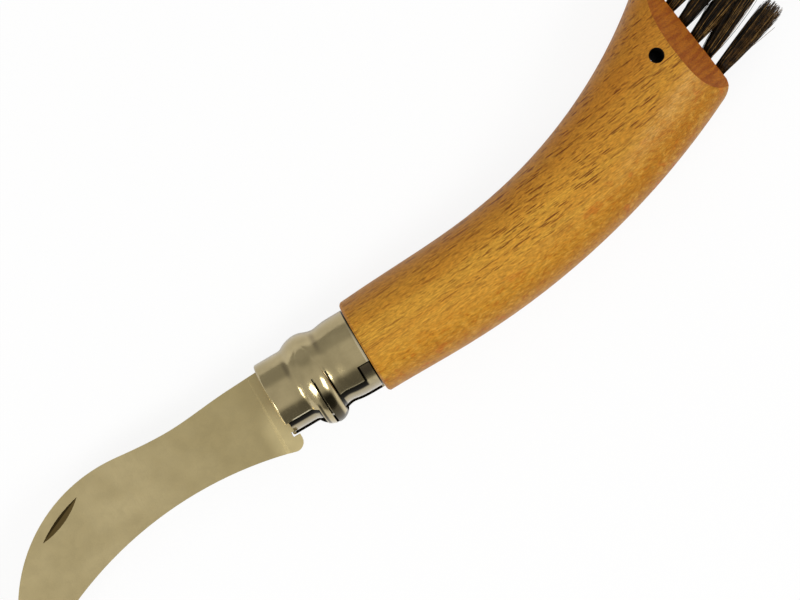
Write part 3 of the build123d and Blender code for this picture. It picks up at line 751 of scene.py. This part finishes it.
def hair_tone(index, column, line, draw):
    """Tone of one hair: gold and brown are likelier outwards and on the outer side of the last column."""
    outer = index / HAIRS_PER_TUFT
    sunny = column == TUFT_COLUMNS - 1 and line[-1][0] > COLUMN_LEAN[column]
    pick = draw.random() / (GOLDEN_SIDE if sunny else 1.0)
    if pick < GOLD_SHARE[0] + GOLD_SHARE[1] * outer:
        return GOLD_HAIR
    if pick < COLOURED_SHARE[0] + COLOURED_SHARE[1] * outer:
        return BROWN_HAIR
    return BLACK_HAIR


def hair_faces(first):
    """Faces of one hair whose points start at first: its sides, its root and its tip."""
    faces = []
    for ring in range(HAIR_RINGS - 1):
        low = first + ring * HAIR_SIDES
        high = low + HAIR_SIDES
        for corner in range(HAIR_SIDES):
            following = (corner + 1) % HAIR_SIDES
            faces.append((low + corner, low + following, high + following, high + corner))
    last = first + (HAIR_RINGS - 1) * HAIR_SIDES
    faces.append(tuple(first + corner for corner in reversed(range(HAIR_SIDES))))
    faces.append(tuple(last + corner for corner in range(HAIR_SIDES)))
    return faces


def make_tuft(number, column, row, materials):
    """One tuft as a mesh of tapered three-sided hairs."""
    draw = random.Random(FIRST_TUFT_SEED + number)
    mouth, side, up, out = tuft_axes(column, row)
    vertices, faces, tones = [], [], []
    for index in range(HAIRS_PER_TUFT):
        line = hair_line(index, COLUMN_LEAN[column], draw)
        tone = hair_tone(index, column, line, draw)
        sides = hair_faces(len(vertices))
        faces += sides
        tones += [tone] * len(sides)
        twist = draw.random() * math.tau
        for ring, (x, y, z) in enumerate(line):
            share = ring / (HAIR_RINGS - 1)
            radius = HAIR_ROOT_RADIUS + (HAIR_TIP_RADIUS - HAIR_ROOT_RADIUS) * share
            for corner in range(HAIR_SIDES):
                turn = twist + math.tau * corner / HAIR_SIDES
                place = (x + radius * math.cos(turn)) * side + (y + radius * math.sin(turn)) * up + z * out
                vertices.append(mouth + place * MM)
    mesh = bpy.data.meshes.new(f"tuft_hair_{number:02d}")
    mesh.from_pydata(vertices, [], faces)
    for material in materials:
        mesh.materials.append(material)
    mesh.polygons.foreach_set("material_index", tones)
    mesh.polygons.foreach_set("use_smooth", [True] * len(faces))
    mesh.update()
    piece = bpy.data.objects.new(mesh.name, mesh)
    bpy.context.scene.collection.objects.link(piece)
    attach(piece, "root")
    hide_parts(f"bristle_tuft_{number:02d}")


def make_brush():
    hair = [make_bristle(*tone) for tone in HAIR_TONES]
    number = 1
    for column in range(TUFT_COLUMNS):
        for row in range(TUFT_ROWS):
            make_tuft(number, column, row, hair)
            number += 1


def make_floor():
    mesh = bpy.data.meshes.new("floor")
    corners = [(-FLOOR_HALF, -FLOOR_HALF, 0), (FLOOR_HALF, -FLOOR_HALF, 0)]
    corners += [(FLOOR_HALF, FLOOR_HALF, 0), (-FLOOR_HALF, FLOOR_HALF, 0)]
    mesh.from_pydata(corners, [], [(0, 1, 2, 3)])
    floor = bpy.data.objects.new("floor", mesh)
    bpy.context.scene.collection.objects.link(floor)
    material, tree, shader = new_material("floor_white")
    shader.inputs["Base Color"].default_value = (FLOOR_WHITE, FLOOR_WHITE, FLOOR_WHITE, 1)
    shader.inputs["Roughness"].default_value = FLOOR_ROUGHNESS
    shader.inputs["Specular IOR Level"].default_value = FLOOR_SPECULAR
    path = add(tree, "ShaderNodeLightPath")
    mirrored = times(tree, path.outputs["Is Glossy Ray"], FLOOR_MIRRORED)
    seen = most(tree, path.outputs["Is Camera Ray"], mirrored, path.outputs["Is Transmission Ray"])
    glow = add(tree, "ShaderNodeEmission", {"Color": (1, 1, 1, 1), "Strength": 1.0}).outputs["Emission"]
    inputs = {0: times(tree, seen, FLOOR_GLOW), 1: shader.outputs["BSDF"], 2: glow}
    blend = add(tree, "ShaderNodeMixShader", inputs)
    tree.links.new(blend.outputs["Shader"], tree.nodes["Material Output"].inputs["Surface"])
    mesh.materials.append(material)


def make_world():
    """Pale room, dimmer on the side of the spine, with a dark screen on the side of the cutting edge."""
    world = bpy.data.worlds.new("studio")
    world.use_nodes = True
    bpy.context.scene.world = world
    tree = world.node_tree
    direction = add(tree, "ShaderNodeTexCoord").outputs["Generated"]
    place = add(tree, "ShaderNodeSeparateXYZ", {"Vector": direction}).outputs
    beside = between(tree, place["Y"], *SPINE_SIDE)
    room = maths(tree, "ADD", WORLD_ABOVE, times(tree, beside, WORLD_BESIDE - WORLD_ABOVE))
    screen = times(
        tree, between(tree, place["Y"], *SCREEN_SIDE),
        between(tree, maths(tree, "ABSOLUTE", place["X"]), *SCREEN_WIDTH),
        between(tree, place["Z"], *SCREEN_FOOT),
    )
    around_screen = times(tree, room, maths(tree, "SUBTRACT", 1.0, screen))
    level = maths(tree, "ADD", around_screen, times(tree, screen, WORLD_DARK))
    tree.links.new(level, tree.nodes["Background"].inputs["Strength"])
    tree.nodes["Background"].inputs["Color"].default_value = WORLD_TINT


def make_softboxes():
    for name, direction in SOFTBOXES.items():
        lamp = bpy.data.lights.new(name, "AREA")
        lamp.shape = "SQUARE"
        lamp.size = SOFTBOX_SIZE
        lamp.energy = SOFTBOX_POWER
        box = bpy.data.objects.new(name, lamp)
        bpy.context.scene.collection.objects.link(box)
        away = Vector(direction).normalized()
        box.location = ORIGIN + away * SOFTBOX_DISTANCE
        box.rotation_mode = "QUATERNION"
        box.rotation_quaternion = away.to_track_quat("Z", "Y")


def make_camera():
    """Camera straight above the knife, turned and framed as the photograph is."""
    turn = math.radians(PHOTO_TURN)
    right = Vector((math.cos(turn), math.sin(turn), 0))
    up = Vector((-math.sin(turn), math.cos(turn), 0))
    steps_right = (PHOTO_SIZE[0] / 2 - WOOD_FACE_PIXEL[0]) / PIXELS_PER_MM
    steps_up = (WOOD_FACE_PIXEL[1] - PHOTO_SIZE[1] / 2) / PIXELS_PER_MM
    camera = bpy.data.cameras.new("camera")
    camera.sensor_width = SENSOR_WIDTH
    camera.lens = SENSOR_WIDTH * CAMERA_DISTANCE * PIXELS_PER_MM / PHOTO_SIZE[0]
    camera.clip_start = CLIP_START
    camera.clip_end = CLIP_END
    eye = bpy.data.objects.new("camera", camera)
    bpy.context.scene.collection.objects.link(eye)
    centre = ORIGIN + (right * steps_right + up * steps_up) * MM
    eye.location = centre + Vector((0, 0, CAMERA_DISTANCE * MM))
    eye.rotation_euler = (0, 0, turn)
    bpy.context.scene.camera = eye


def dress(node, material):
    """Gives a carried-over part its material."""
    mesh = frame["nodes"][node].data
    mesh.materials.clear()
    mesh.materials.append(material)


def dress_parts():
    dress("handle", make_beech())
    dress("locking_ring", make_steel("ring_steel", finish_ring))
    dress("fixed_ferrule", make_steel("ferrule_steel", finish_ferrule))
    dress("blade", make_steel("blade_steel", finish_blade))
    dress("pivot_pin", make_steel("pin_steel"))
    dress("tuft_anchors", make_steel("anchor_wire"))


dress_parts()
make_brush()
make_floor()
make_world()
make_softboxes()
make_camera()
bpy.context.scene.view_settings.view_transform = "Standard"
